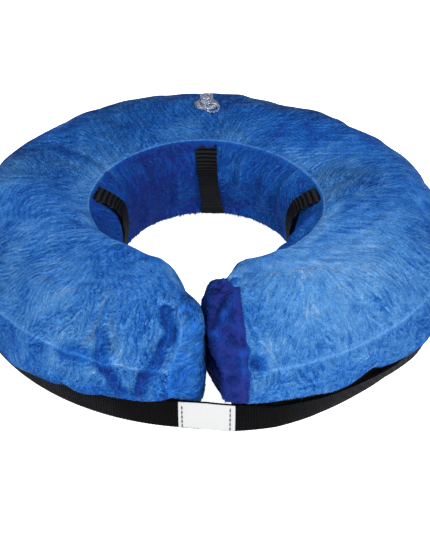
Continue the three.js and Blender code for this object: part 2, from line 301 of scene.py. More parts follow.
def tone(tree):
    """The tone that the mesh carries on its points."""
    return node(tree, "ShaderNodeAttribute", attribute_name="tone").outputs["Fac"]


def mottled_tone(tree):
    return maths(tree, "MULTIPLY_ADD", noise(300, 3)(tree), 0.3, tone(tree))


def plain_weave(tree):
    return maths(tree, "MULTIPLY", bands(320, 0.4, "X")(tree), bands(320, 0.4, "Y")(tree))


def round_the_ring(tree):
    """(distance round the rim, height) in metres, from the place in object space."""
    place = node(tree, "ShaderNodeTexCoord").outputs["Object"]
    split = node(tree, "ShaderNodeSeparateXYZ", {"Vector": place})
    turn = maths(tree, "ARCTAN2", split.outputs["X"], split.outputs["Y"])
    return maths(tree, "MULTIPLY", turn, RIM_RADIUS * MM), split.outputs["Z"]


def ribs(tree, distance, pitch):
    """Ribs from 0 to 1 with the given pitch in metres."""
    wave = maths(tree, "SINE", maths(tree, "MULTIPLY", distance, 2 * math.pi / pitch))
    return maths(tree, "MULTIPLY_ADD", wave, 0.5, 0.5)


def picks(tree):
    """The rows of small bumps of a webbing."""
    length, height = round_the_ring(tree)
    return maths(tree, "MULTIPLY", ribs(tree, length, 0.0019), ribs(tree, height, 0.0021))


def lit_picks(tree):
    """Webbing whose raised picks are painted lighter than their hollows as a painted highlight, mottled, and
    painted lighter grey away from the label as painted light.
    """
    from_back = maths(tree, "ABSOLUTE", round_the_ring(tree)[0])
    # painted light: the strap is painted lighter grey away from the label
    reach_of_light = {"From Min": STRAP_LIGHT_FROM, "From Max": STRAP_LIGHT_TO, "To Min": 0.3, "To Max": 1.6}
    strap_light = node(tree, "ShaderNodeMapRange", {"Value": from_back, **reach_of_light}).outputs["Result"]
    return maths(tree, "MULTIPLY", picks(tree), maths(tree, "MULTIPLY", noise(40, 4)(tree), strap_light))


def look(name, pattern, stops, roughness, relief=None, depth=0.0, strength=1.0, **settings):
    """A material: a pattern through a colour ramp, a relief with its depth in metres, other settings."""
    made, tree, shader = material(name)
    tree.links.new(ramp(tree, pattern(tree), stops), shader.inputs["Base Color"])
    shader.inputs["Roughness"].default_value = roughness
    for key, value in settings.items():
        shader.inputs[key.replace("_", " ")].default_value = value
    if relief:
        inputs = {"Height": relief(tree), "Distance": depth, "Strength": strength}
        tree.links.new(node(tree, "ShaderNodeBump", inputs).outputs["Normal"], shader.inputs["Normal"])
    return made


PLUSH_TONES = (
    (0.06, (0.011, 0.021, 0.155)),
    (0.22, (0.004, 0.044, 0.26)),
    (0.4, (0.009, 0.098, 0.38)),
    (0.74, (0.082, 0.255, 0.54)),
    (1.0, (0.29, 0.40, 0.58)),
)
THREAD_TONES = ((0.35, (0.082, 0.255, 0.54)), (0.6, (0.22, 0.36, 0.74)))
WEBBING_TONES = ((0.05, (0.0006, 0.0006, 0.0009)), (0.6, (0.030, 0.032, 0.040)))
NYLON_TONES = ((0.0, (0.006, 0.006, 0.008)), (1.0, (0.03, 0.031, 0.036)))
FUZZ_TONES = ((0.4, (0.004, 0.004, 0.005)), (0.7, (0.022, 0.022, 0.026)))
LABEL_TONES = ((0.0, (0.40, 0.41, 0.41)), (1.0, (0.51, 0.51, 0.51)))
STITCH_TONES = ((0.3, (0.01, 0.01, 0.012)), (0.7, (0.04, 0.04, 0.045)))
VINYL_TONES = ((0.3, (0.86, 0.90, 0.97)), (0.7, (0.97, 0.98, 1.0)))
FILM_TONES = ((0.3, (0.62, 0.66, 0.70)), (0.7, (0.74, 0.78, 0.80)))
ZIP_TONES = ((0.3, (0.008, 0.008, 0.010)), (0.7, (0.028, 0.028, 0.032)))
TAPE_TONES = ((0.0, (0.006, 0.006, 0.008)), (1.0, (0.03, 0.03, 0.035)))

PILE = look("plush_pile", tone, PLUSH_TONES, 0.62, Specular_IOR_Level=0.03, Sheen_Weight=0.01,
            Sheen_Roughness=0.45, Sheen_Tint=(0.35, 0.66, 1.0, 1))
BACKING = look("plush_backing", mottled_tone, PLUSH_TONES, 0.9, noise(900, 3), 0.0006,
               Specular_IOR_Level=0.1)
SEAM = look("seam_thread", noise(400, 2), THREAD_TONES, 0.7, Sheen_Weight=0.5)
WEBBING = look("webbing", lit_picks, WEBBING_TONES, 0.55, picks, 0.0006, Specular_IOR_Level=0.03)
NYLON = look("nylon", plain_weave, NYLON_TONES, 0.6, plain_weave, 0.0003, 0.8, Specular_IOR_Level=0.2)
FUZZ = look("loop_fuzz", noise(700, 3), FUZZ_TONES, 0.85, noise(1500, 2), 0.0005, Specular_IOR_Level=0.2)
SATIN = bands(420, 0.6, "Z")
LABEL = look("label_cloth", SATIN, LABEL_TONES, 0.5, SATIN, 0.0001, 0.6)
THREAD = look("black_thread", noise(2000, 2), STITCH_TONES, 0.6)
VINYL = look("clear_vinyl", noise(250, 3), VINYL_TONES, 0.06, noise(500, 2), 0.0002, 0.5,
             Transmission_Weight=0.95, IOR=1.42)
FILM = look("bladder_film", noise(60, 3), FILM_TONES, 0.25, noise(120, 3), 0.0008, 0.6, Coat_Weight=0.4)
ZIP = look("zip_plastic", noise(500, 3), ZIP_TONES, 0.32, noise(900, 2), 0.0001, 0.5,
           Specular_IOR_Level=0.2)
HERRINGBONE = bands(380, 1.0, "DIAGONAL")
TAPE = look("zip_tape", HERRINGBONE, TAPE_TONES, 0.75, HERRINGBONE, 0.0002, 0.8, Specular_IOR_Level=0.2)


def dress(piece, skin, slot, *nodes):
    """Gives a piece its material and hides the CAD nodes that it replaces; slot is not used."""
    piece.data.materials.clear()
    piece.data.materials.append(skin)
    if nodes:
        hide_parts(*nodes)


# ---------------------------------------------------------------- the cover's shape

def between(low, high, share):
    return low + (high - low) * share


def side_of(turn):
    return LEFT if turn < 0 else RIGHT


# Sections of the panels, as (share of the radius, share of the height), and of the sag for the side.
NECK_SHARES = ((.11, 0), (0, .38), (.22, .74), (1, 1))
TOP_SHARES = ((0, .52), (.11, .77), (.25, .92), (.40, .97), (.56, .92), (.72, .77), (.88, .44), (1, 0))
SIDE_SHARES = ((.32, 1, 0), (.86, .68, .15), (1.05, .32, .55), (.98, .10, .9),
               (.72, .02, 1), (.46, .05, .95), (.38, .16, .7))


def panel_lines():
    """Rows of (radius, height, sag share) for the neck wall, the top panel and the side panel."""
    neck = [(between(NECK_RADIUS, NECK_TOP_RADIUS, a), between(NECK_FOOT, INNER_SEAM, b), 0)
            for a, b in NECK_SHARES]
    top = [(between(NECK_TOP_RADIUS, OUTER_SEAM_RADIUS, a), between(OUTER_SEAM, CREST, b), 0)
           for a, b in TOP_SHARES]
    side = [(between(RIM_RADIUS, WIDEST, a), between(HEM, OUTER_SEAM, b), c) for a, b, c in SIDE_SHARES]
    top[0] = neck[-1]
    top[-1] = side[0]
    named = (("neck", neck), ("top", top), ("side", side))
    return [smooth_line(line, ROWS[name] + 1) for name, line in named]


LINES = panel_lines()


def sag(from_gap, side):
    """How far the side panel hangs over the strap, by the angle from the gap in degrees."""
    if side == LEFT:
        return np.interp(from_gap, (10, 18, 24, 32, 40, 54, 90, 140), (0, 2, 5.5, 9, 11, 11, 6, 0))
    hang = np.interp(from_gap, (5, 13, 24, 33, 42, 50, 90, 140), (3, 1, 4, 5, 5, 9, 6, 0))
    return hang - 8 * np.exp(-((from_gap - 35.5) / 2.6) ** 2)


def corner(from_gap, side):
    """How far the neck wall is pushed outwards near an end, by the angle from the gap in degrees."""
    across = MIDDLE_RADIUS * math.sin(math.radians(min(90, from_gap)))
    if side == LEFT:
        return 92 * np.clip(1 - across / 48, 0, 1) ** 1.32
    return 42 * np.clip(1 - across / 46, 0, 1) ** 1.1


def back_foot(height, angle):
    """The neck wall leans out at its foot behind, most of all a little to the right."""
    return BACK_FOOT * max(0, math.cos(angle - 0.2)) ** 1.5 * smoothstep(INNER_SEAM * 0.8, NECK_FOOT, height)


def shape(line, turn):
    """Points of the cover for rows of the section at one angle from the back, in degrees."""
    side = side_of(turn)
    radius, height, sag_share = line.T.copy()
    from_gap = 180 - abs(turn)
    angle = math.radians(turn)
    push = corner(from_gap, side)
    radius += push * np.clip(1 - (radius - NECK_RADIUS) / (RIM_RADIUS - 12 - NECK_RADIUS), 0, 1) ** 0.7
    low = smoothstep(INNER_SEAM, NECK_FOOT, height) * (line[:, 0] < NECK_TOP_RADIUS + 1)
    radius += back_foot(height, angle) + low * (1.5 + (0.2 * push if side == LEFT else 0))
    rise = smoothstep(INNER_SEAM * 0.5, CREST, height)
    height -= rise * (BACK_DROP * max(0, math.cos(angle)) ** 2 + SIDE_DROP * math.sin(angle) ** 2
                      + BACK_RIGHT_DROP * max(0, math.sin(2 * max(0, angle))))
    height -= sag_share * sag(from_gap, side)
    return polar(radius, angle, height)


def end_face(radius, height, side):
    """X of the outermost face of an end, in mm: the two ends press together, and part below."""
    lean = between(-6.5, -0.6, smoothstep(105, 168, radius))
    open_below = smoothstep(58, 28, height) * smoothstep(140, 186, radius)
    return lean + side * GAP + np.where(side == LEFT, -1.0, 7) * open_below


def end_edge(hem, foot):
    """Points that close the edge of an end along the floor, from the hem to the foot of the neck wall."""
    line = [hem * (1 - share) + foot * share for share in np.linspace(0, 1, ROWS["base"] + 1)[1:-1]]
    for k, point in enumerate(line):
        point[2] = min(point[2], between(hem[2], NECK_FOOT, min(1, (k + 1) / 3)))
    return line


def dome_ring(rim, radius, centre, share, side):
    """One ring of an end panel, by its share of the way from the panel's edge to its middle."""
    inward = share ** (3.0 if side == LEFT else 2.1)
    swell = math.sqrt(1 - (1 - share) ** 2) ** 0.9
    r = between(radius, centre[0], inward)
    z = between(rim[:, 2], centre[1], inward)
    x = between(side * r * math.sin(math.radians(END_SEAM)), end_face(r, z, side), swell)
    y = -between(r * math.cos(math.radians(END_SEAM)), r, swell)
    return np.stack([x, y, z], axis=1)


END_PANEL = {LEFT: 3, RIGHT: 4}     # a panel's number; 0, 1 and 2 are the neck wall, the top and the side


def cover_mesh():
    """The whole cover: its points, its faces, the panel of each face, and which points are held."""
    rows = np.vstack([LINES[0], LINES[1][1:], LINES[2][1:]])
    row_panel = np.repeat([0, 1, 2], [len(LINES[0]), len(LINES[1]) - 1, len(LINES[2]) - 1])
    last = 180 - END_SEAM
    turns = np.linspace(-last, last, int(round(2 * last / COLUMN_STEP)) + 1)
    points = np.concatenate([shape(rows, t) for t in turns])
    faces = grid_faces(len(turns), len(rows))
    face_panel = [int(max(row_panel[f[0] % len(rows)], row_panel[f[1] % len(rows)])) for f in faces]
    on_seam = np.zeros(len(rows), bool)
    on_seam[[0, len(LINES[0]) - 1, len(LINES[0]) + len(LINES[1]) - 2, len(rows) - 1]] = True
    held = np.tile(on_seam, len(turns))
    held[-len(rows):] = True
    for side, first in ((LEFT, 0), (RIGHT, (len(turns) - 1) * len(rows))):
        edge = list(range(first, first + len(rows)))
        floor_points = end_edge(points[edge[-1]], points[edge[0]])
        edge += list(range(len(points), len(points) + len(floor_points)))
        points = np.vstack([points, floor_points])
        held = np.r_[held, np.ones(len(floor_points), bool)]
        rim = points[edge]
        radius = radius_of(rim)
        radius = np.where(rim[:, 2] < HEM - 4, np.minimum(radius, RIM_RADIUS - 5), radius)
        centre = np.array([(radius.max() + radius.min()) / 2 + 4, DOME_HEIGHT])
        following = np.roll(np.arange(len(edge)), -1)
        fresh = []
        for share in np.linspace(0, 1, DOME_LEVELS + 1)[1:-1]:
            ring = list(range(len(points), len(points) + len(edge)))
            points = np.vstack([points, dome_ring(rim, radius, centre, share, side)])
            fresh += [[edge[k], edge[n], ring[n], ring[k]] for k, n in enumerate(following)]
            edge = ring
        fresh += [[edge[k], edge[n], len(points)] for k, n in enumerate(following)]
        points = np.vstack([points, [float(end_face(*centre, side)), -centre[0], centre[1]]])
        held = np.r_[held, np.zeros(len(points) - len(held), bool)]
        faces += [face if side == LEFT else face[::-1] for face in fresh]
        face_panel += [END_PANEL[side]] * len(fresh)
    return points, faces, np.array(face_panel), held


# A fold of the cloth: (points of its line, depth, half width). A negative depth is a ridge.
FOLDS = (
    (((-26, -164, 78), (-23, -175, 70), (-28, -181, 65), (-32, -185, 57), (-38, -190, 48),
      (-45, -195, 37)), 7, 3.6),
    (((-38, -181, 60), (-41, -187, 53), (-43, -190, 46)), 3, 2.6),
    (((-66, -183, 46), (-60, -189, 38), (-52, -192, 33), (-40, -194, 30)), 6, 3.6),
    (((-69, -150, 79), (-75, -163, 68), (-84, -169, 57)), -4, 2.2),
    (((-65, -162, 70), (-62, -176, 58)), -4, 2.2),
    (((-69, -168, 64), (-69, -180, 51)), 5, 4.5),
    (((-96, -169, 51), (-82, -175, 52), (-66, -183, 50)), 4.5, 6),
    (((7, -140, 86), (4, -152, 84), (2, -168, 76)), 6, 4),
    (((19, -137, 86), (12, -150, 84), (9, -158, 81)), 5, 3.5),
    (((12, -172, 72), (24, -178, 66)), 2.5, 3),
    (((33, -186, 56), (36, -188, 54)), 7, 4.5),
    (((-124, 58, 87), (-104, 49, 82), (-85, 40, 69)), 2.6, 5),
)


def distance_to_line(points, line):
    """Distance from each point to a line of straight stretches."""
    nearest = np.full(len(points), 1e9)
    for a, b in zip(line[:-1], line[1:]):
        a, b = np.array(a, float), np.array(b, float)
        share = np.clip((points - a) @ (b - a) / max((b - a) @ (b - a), 1e-9), 0, 1)
        nearest = np.minimum(nearest, np.linalg.norm(points - a - share[:, None] * (b - a), axis=1))
    return nearest


def laid_on(points, line):
    """A smooth line through the corners of another, moved onto the nearest points of the surface."""
    return [points[np.argmin(((points - spot) ** 2).sum(axis=1))] for spot in smooth_line(line, 12)]


def fold_depth(points):
    """How deep each point lies in the folds, in mm, with the ridges beside them negative."""
    depth_here = np.zeros(len(points))
    for line, depth, width in FOLDS:
        away = distance_to_line(points, laid_on(points, line)) / width
        depth_here += FOLD_SHARE * depth * (np.exp(-away ** 2) - 0.4 * np.exp(-(away - 1.9) ** 2))
    return depth_here * smoothstep(HEM + 1, HEM + 12, points[:, 2])


def rumpled(points, normals):
    """Points moved in or out by the broad unevenness of the cloth and the wrinkles of the neck wall."""
    radius = radius_of(points)
    turn = turn_of(points)
    on_wall = smoothstep(NECK_TOP_RADIUS + 2, NECK_TOP_RADIUS - 8, radius)
    on_wall *= smoothstep(0, 14, points[:, 2]) * smoothstep(INNER_SEAM, INNER_SEAM - 12, points[:, 2])
    flat = np.stack([turn * NECK_RADIUS, points[:, 2] * 0.18, np.zeros(len(points))], axis=1)
    move = on_wall * (1.3 * waves(flat, 17, 5) + 0.6 * waves(flat, 8, 6))
    move += (1 - on_wall) * (0.7 * waves(points, 42, 7) + 0.35 * waves(points, 18, 8))
    near_seam = np.exp(-((points[:, 2] - OUTER_SEAM + 4) / 9) ** 2) * smoothstep(150, 185, radius)
    around = np.stack([turn * RIM_RADIUS, np.zeros(len(points)), np.zeros(len(points))], axis=1)
    move += near_seam * 0.9 * waves(around, 13, 9)
    return points + normals * move[:, None]


def eased(points, faces, weight, rounds):
    """Points drawn towards the middle of their neighbours, by a weight from 0 to 1."""
    pairs = np.array([(face[k], face[k - 1]) for face in faces for k in range(len(face))])
    pairs = np.vstack([pairs, pairs[:, ::-1]])
    count = np.bincount(pairs[:, 0], minlength=len(points)).clip(1)[:, None]
    for _ in range(rounds):
        around = np.zeros_like(points)
        np.add.at(around, pairs[:, 0], points[pairs[:, 1]])
        points = points + 0.5 * weight[:, None] * (around / count - points)
    return points


def puff(target, held, allow, calm):
    """Inflates the cover a little with the cloth simulation, its seams held, each point kept near home."""
    home = vertex_array(target)
    group = target.vertex_groups.new(name="seams")
    group.add([int(k) for k in np.flatnonzero(held)], 1.0, "REPLACE")
    cloth = target.modifiers.new("cloth", "CLOTH")
    settings = cloth.settings
    settings.quality = 5
    settings.mass = 0.25
    settings.tension_stiffness = 18
    settings.compression_stiffness = 18
    settings.shear_stiffness = 8
    settings.bending_stiffness = 2.5
    settings.use_pressure = True
    settings.uniform_pressure_force = 4.0
    settings.shrink_min = -0.035
    settings.vertex_group_mass = group.name
    settings.pin_stiffness = 1.0
    settings.effector_weights.gravity = 0
    cloth.point_cache.frame_start = 1
    cloth.point_cache.frame_end = PUFF_STEPS
    scene = bpy.context.scene
    for step in range(1, PUFF_STEPS + 1):
        scene.frame_set(step)
    shaped = target.evaluated_get(bpy.context.evaluated_depsgraph_get())
    flat = np.zeros(len(home) * 3, np.float32)
    shaped.data.vertices.foreach_get("co", flat)
    moved = flat.reshape(-1, 3).astype(float) / MM - home
    target.modifiers.clear()
    scene.frame_set(1)
    length = np.linalg.norm(moved, axis=1)
    moved *= (calm * allow * np.tanh(length / allow) / np.maximum(length, 1e-9))[:, None]
    print("cloth moved", round(float(length.mean()), 2), "mm on average")
    set_vertices(target, home + moved)


def subdivided(target, levels):
    """The target's mesh after a subdivision surface, applied."""
    modifier = target.modifiers.new("fine", "SUBSURF")
    modifier.levels = levels
    modifier.render_levels = levels
    shaped = target.evaluated_get(bpy.context.evaluated_depsgraph_get())
    mesh = bpy.data.meshes.new_from_object(shaped)
    target.modifiers.clear()
    target.data = mesh
    return target


def make_cover():
    """The whole cover, puffed and folded, and how deep each of its points lies in the folds."""
    points, faces, face_panel, held = cover_mesh()
    whole = new_object("cover_whole", points, faces)
    whole.data.attributes.new("panel", "INT", "FACE").data.foreach_set("value", face_panel)
    normals = vertex_array(whole, "normal")
    moved = rumpled(points, normals)
    moved -= normals * PILE_DEPTH
    moved = np.where(held[:, None], points - normals * SEAM_DEPTH, moved)
    rounded = smoothstep(-48, -24, moved[:, 0]) * (moved[:, 0] < 0) * (moved[:, 1] < 0)
    rounded *= smoothstep(HEM - 2, HEM + 10, moved[:, 2])
    set_vertices(whole, eased(moved, faces, rounded, 14))
    radius = radius_of(points)
    calm = between(0.35, 1, smoothstep(NECK_TOP_RADIUS - 4, NECK_TOP_RADIUS + 8, radius))
    puff(whole, held, 4.5, calm)
    subdivided(whole, 2)
    points = vertex_array(whole)
    depth = fold_depth(points)
    points -= vertex_array(whole, "normal") * depth[:, None]
    from_valve = np.hypot(points[:, 0] - VALVE[0], points[:, 1] - VALVE[1])
    near = smoothstep(VALVE_RADIUS + 7, VALVE_RADIUS - 1, from_valve) * (points[:, 2] > INNER_SEAM)
    points[:, 2] = between(points[:, 2], FLANGE_FOOT - 0.5, near)
    set_vertices(whole, points)
    return whole, depth


def point_value(target, name, values):
    """Gives a mesh a number on each point."""
    made = target.data.attributes.new(name, "FLOAT", "POINT")
    made.data.foreach_set("value", np.asarray(values).ravel().astype(np.float32))


def point_values(target, name):
    """The numbers that a mesh carries on its points, or zeros."""
    values = np.zeros(len(target.data.vertices), np.float32)
    if name in target.data.attributes:
        target.data.attributes[name].data.foreach_get("value", values)
    return values


def split_cover(whole, depth):
    """Cuts the finished cover into its sewn panels, left and right of the middle of the back."""
    points = vertex_array(whole)
    panel = np.zeros(len(whole.data.polygons), np.int32)
    whole.data.attributes["panel"].data.foreach_get("value", panel)
    faces = [tuple(p.vertices) for p in whole.data.polygons]
    middle = np.array([points[list(f)].mean(axis=0) for f in faces])
    pieces = {}
    for number, key in enumerate(("neck_wall", "top_panel", "side_panel", "end_panel")):
        for side in (LEFT, RIGHT):
            chosen = (panel == number) & (np.sign(middle[:, 0]) == side)
            if key == "end_panel":
                chosen = panel == END_PANEL[side]
            picked = [faces[k] for k in np.flatnonzero(chosen)]
            used = sorted({v for f in picked for v in f})
            index = {v: k for k, v in enumerate(used)}
            name = f"plush_{key}_{SIDES[side]}"
            made = new_object(name, points[used], [[index[v] for v in f] for f in picked])
            point_value(made, "fold", depth[used])
            pieces[key, side] = made
    find_seams(points, vertex_array(whole, "normal"), faces, panel)
    bpy.data.objects.remove(whole)
    return pieces


SEAMS = {}              # the finished seams, as points and normals in order round the ring


def find_seams(points, normals, faces, panel):
    """Fills SEAMS with the lines where panels meet."""
    touching = np.zeros(len(points), np.int64)
    for face, number in zip(faces, panel):
        touching[list(face)] |= 1 << int(number)
    turn = turn_of(points)
    for name, first, second in (("inner", 0, 1), ("outer", 1, 2)):
        chosen = np.flatnonzero((touching >> first & 1) & (touching >> second & 1))
        chosen = chosen[np.argsort(turn[chosen])]
        SEAMS[name] = points[chosen], normals[chosen]


# ---------------------------------------------------------------- the nap

NAP = {
    # panel: (tufts per square cm, length, width, lift in degrees, tone, spread of the swirl); the neck
    # wall's low tone is painted shade inside the hole
    "top_panel": (150, 4.2, 0.85, 12, 0.55, 0.5),
    "side_panel": (150, 3.7, 0.85, 11, 0.51, 0.5),
    "end_panel": (150, 3.3, 0.85, 11, 0.50, 0.5),
    "neck_wall": (120, 2.5, 0.80, 8, 0.25, 0.4),
}


def triangles(target):
    mesh = target.data
    mesh.calc_loop_triangles()
    corners = np.zeros(len(mesh.loop_triangles) * 3, np.int32)
    mesh.loop_triangles.foreach_get("vertices", corners)
    return corners.reshape(-1, 3)


def scatter(target, density, seed):
    """Random points on a mesh, with their normals and depth in the folds. Density is per square cm."""
    rng = np.random.default_rng(seed)
    points, normals, corners = vertex_array(target), vertex_array(target, "normal"), triangles(target)
    a, b, c = (points[corners[:, k]] for k in range(3))
    area = np.linalg.norm(np.cross(b - a, c - a), axis=1) / 2
    count = int(area.sum() / 100 * density)
    pick = np.searchsorted(np.cumsum(area) / area.sum(), rng.random(count))
    u, v = rng.random(count), rng.random(count)
    over = u + v > 1
    u[over], v[over] = 1 - u[over], 1 - v[over]
    w = 1 - u - v
    weights = np.stack([w, u, v], axis=1)[:, :, None]
    place = (points[corners[pick]] * weights).sum(axis=1)
    normal = unit((normals[corners[pick]] * weights).sum(axis=1))
    depth = point_values(target, "fold")
    return place, normal, (depth[corners[pick]] * weights[:, :, 0]).sum(axis=1), rng


def brushed(place, normal, spread):
    """Direction in which the nap is brushed at each place: towards the neck, in swirls."""
    inward = laid_flat(-unit(place * (1, 1, 0)), normal)
    inward = unit(laid_flat(inward + (0, 0, -0.25), normal))
    aside = np.cross(normal, inward)
    swirl = 0.9 * waves(place, 105, 21) + 0.28 * waves(place, 42, 22) + 0.07 * waves(place, 12, 23)
    angle = spread * swirl
    return inward * np.cos(angle)[:, None] + aside * np.sin(angle)[:, None]


def seam_distance(place, panel):
    """Distance in mm from each point to the inner seam, the outer seam and the seam of its end."""
    turn = np.degrees(turn_of(place))
    radius = radius_of(place)
    away = []
    for name in ("inner", "outer"):
        seam = SEAMS[name][0]
        seam_turn = np.degrees(turn_of(seam))
        seam_radius = np.interp(turn, seam_turn, radius_of(seam))
        away.append(np.hypot(radius - seam_radius, place[:, 2] - np.interp(turn, seam_turn, seam[:, 2])))
    end = radius * np.radians(np.abs(180 - END_SEAM - np.abs(turn)))
    if panel == "end_panel":
        away = np.full((2, len(place)), 99.0)
    return away[0], away[1], end


def pile(target, panel, side, seed):
    """Closed spikes of nap on a panel, one object. Each spike has four faces."""
    density, length, width, lift, _, spread = NAP[panel]
    place, normal, folded, rng = scatter(target, density * PILE_SHARE, seed)
    clear = np.hypot(place[:, 0] - VALVE[0], place[:, 1] - VALVE[1]) > VALVE_RADIUS * 0.9
    place, normal, folded = place[clear], normal[clear], folded[clear]
    count = len(place)
    inner, outer, end = seam_distance(place, panel)
    held = np.minimum(inner, np.minimum(outer, end + 2.5))
    along = brushed(place, normal, spread) + 0.10 * rng.normal(size=(count, 3))
    along = unit(laid_flat(along, normal))
    aside = np.cross(normal, along)
    clump = waves(place, 9, 31)
    raised = np.radians(lift * (1 + 0.30 * clump + 0.25 * rng.normal(size=count)).clip(0.3, 2.2))
    reach_out = length * rng.uniform(0.65, 1.2, count) * (1 + 0.15 * clump)
    reach_out *= between(0.2, 1, smoothstep(0.8, 7, held)) * (1 - 0.06 * folded).clip(0.4, 1)
    direction = along * np.cos(raised)[:, None] + normal * np.sin(raised)[:, None]
    root = place - normal * 0.35
    half = (width * rng.uniform(0.7, 1.25, count) / 2 / math.sqrt(PILE_SHARE))[:, None]
    points = np.stack([root - aside * half, root + aside * half, root + normal * half * 1.3,
                       root + direction * reach_out[:, None]], axis=1)
    uneven = 0.05 * waves(place, 60, 41) + 0.035 * waves(place, 22, 42) + 0.02 * clump
    uneven += 0.055 * rng.normal(size=count) + 0.075 * locks(place, along)
    # the right end panel lies in painted shadow, with its random variation kept small
    if panel == "end_panel" and side == RIGHT:
        uneven *= 0.35
    tone = uneven + tone_with_painted_light(place, folded, panel, side)
    # painted shade at the root of each tuft and painted highlight at its tip
    levels = np.stack([tone - 0.13, tone - 0.13, tone - 0.06, tone + 0.13], axis=1).clip(0, 1)
    name = f"pile_{panel}_{SIDES[side]}"
    if count < MOST_TUFTS:
        return [tufts(name, points, levels)]
    front = np.arctan2(np.abs(place[:, 0]), place[:, 1]) > math.pi / 2
    return [tufts(f"{name}_front", points[front], levels[front]),
            tufts(f"{name}_rear", points[~front], levels[~front])]


def tufts(name, points, levels):
    """Tufts of nap as one object, from four points and four tones each: darker at the root as painted shade
    and lighter at the tip as painted highlight.
    """
    made = spike_object(name, points)
    point_value(made, "tone", levels)
    dress(made, PILE, "plush")
    return made


def locks(place, along):
    """Streaks of about unit strength that run with the nap, as its hairs cling together in locks."""
    total = np.zeros(len(place))
    for shift in np.linspace(-2.4, 2.4, 5):
        total += waves(place + along * shift, 2.3, 33, 28)
    return total / max(total.std(), 1e-9)


def tone_with_painted_light(place, folded, panel, side):
    """Broad light and dark areas, mostly painted light and shade: painted shade in the folds and painted
    highlight on their ridges, painted light at the front right, the front left and the right side, painted
    shade at the back, on the end panels and on the neck wall, which is painted lighter to its right and at
    its front; also a lighter band beside the inner seam and pale lines where the nap parts along the seams.
    """
    inner, outer, _ = seam_distance(place, panel)
    # painted shade deep in the folds and painted highlight on the ridges beside them
    tone_and_painted_light = NAP[panel][4] - 0.30 * np.tanh(folded / 3.5)
    tone_and_painted_light = tone_and_painted_light + 0.20 * np.exp(-(inner / 1.1) ** 2) + 0.15 * np.exp(-(outer / 1.0) ** 2)
    if panel == "top_panel":
        tone_and_painted_light += 0.10 * np.exp(-((inner - 8) / 7) ** 2)
    # painted light: a pool of light on the front right of the top panel
    if panel == "top_panel" and side == RIGHT:
        tone_and_painted_light += 0.29 * np.exp(-(((place - (95, -120, 82)) / (70, 60, 60)) ** 2).sum(axis=1))
    # painted light: a lighter area on the bulge at the front left of the top panel
    if panel == "top_panel" and side == LEFT:
        tone_and_painted_light += 0.07 * np.exp(-(((place - (-90, -150, 75)) / (60, 45, 60)) ** 2).sum(axis=1))
    # painted light on the front of the right side panel, and a little painted shade on the left
    if panel == "side_panel":
        tone_and_painted_light += (0.08 if side == RIGHT else -0.02) * (place[:, 1] < 0)
    # painted shade: darker towards the back
    tone_and_painted_light -= 0.10 * smoothstep(20, 110, place[:, 1])
    # painted shade on the end panels, the right one deep in painted shadow
    if panel == "end_panel":
        tone_and_painted_light -= 0.42 if side == RIGHT else 0.05
    # painted light on the neck wall: lighter to the right and at the front near the gap
    if panel == "neck_wall":
        tone_and_painted_light += 0.14 * smoothstep(-40, 40, place[:, 0])
        tone_and_painted_light += 0.24 * smoothstep(60, 25, np.abs(place[:, 0])) * (place[:, 1] < 0)
    return tone_and_painted_light


def spike_object(name, points):
    """Closed spikes of four triangles as one object, from three points of the root and the tip of each."""
    first = np.arange(len(points))[:, None] * 4
    faces = np.stack([first + np.array(s) for s in ((0, 2, 1), (0, 1, 3), (1, 2, 3), (2, 0, 3))], axis=1)
    mesh = bpy.data.meshes.new(name)
    mesh.vertices.add(points.size // 3)
    mesh.vertices.foreach_set("co", (points * MM).astype(np.float32).ravel())
    mesh.loops.add(faces.size)
    mesh.loops.foreach_set("vertex_index", faces.astype(np.int32).ravel())
    mesh.polygons.add(faces.size // 3)
    mesh.polygons.foreach_set("loop_start", np.arange(faces.size // 3, dtype=np.int32) * 3)
    mesh.update(calc_edges=True)
    mesh.shade_smooth()
    made = bpy.data.objects.new(name, mesh)
    bpy.context.scene.collection.objects.link(made)
    return made


WALL = []               # the points of the finished neck wall


def dress_cover():
    """Makes the cover's panels with their nap, and bakes them in place."""
    pieces = split_cover(*make_cover())
    for number, ((panel, side), piece) in enumerate(sorted(pieces.items())):
        naps = pile(piece, panel, side, 100 + number)
        depth = point_values(piece, "fold")
        # the backing gets the same painted light and shade, and 0.2 darker as painted shade between the
        # tufts
        point_value(piece, "tone", tone_with_painted_light(vertex_array(piece), depth, panel, side) - 0.2)
        if panel == "neck_wall":
            WALL.append(vertex_array(piece))
        nodes = [f"end_panel_{SIDES[side]}"] if panel == "end_panel" else cad_nodes(panel, side)
        dress(piece, BACKING, "plush", *nodes)
        for part in [piece] + naps:
            follow_arm(part)


dress_cover()


# ---------------------------------------------------------------- swept and turned pieces

def capped(name, points, rings, wrap_rings=False):
    """A closed piece from rings of points; the first and last ring are capped unless the rings go round."""
    count = len(points) // rings
    faces = grid_faces(rings, count, wrap_rows=wrap_rings, wrap_columns=True)
    if not wrap_rings:
        faces.append(list(range(count))[::-1])
        faces.append(list(range(len(points) - count, len(points))))
    return closed_outwards(new_object(name, points, faces))


def sweep(name, turns, outline):
    """A closed piece swept round the ring: outline(turn) is its section as (radius, height) rows."""
    sections = [outline(turn) for turn in turns]
    rings = [polar(rows[:, 0], math.radians(turn), rows[:, 1]) for turn, rows in zip(turns, sections)]
    return capped(name, np.concatenate(rings), len(turns))


def closed_outwards(piece):
    """Turns a closed piece's faces outwards."""
    work = bmesh.new()
    work.from_mesh(piece.data)
    bmesh.ops.recalc_face_normals(work, faces=work.faces)
    work.to_mesh(piece.data)
    work.free()
    return piece


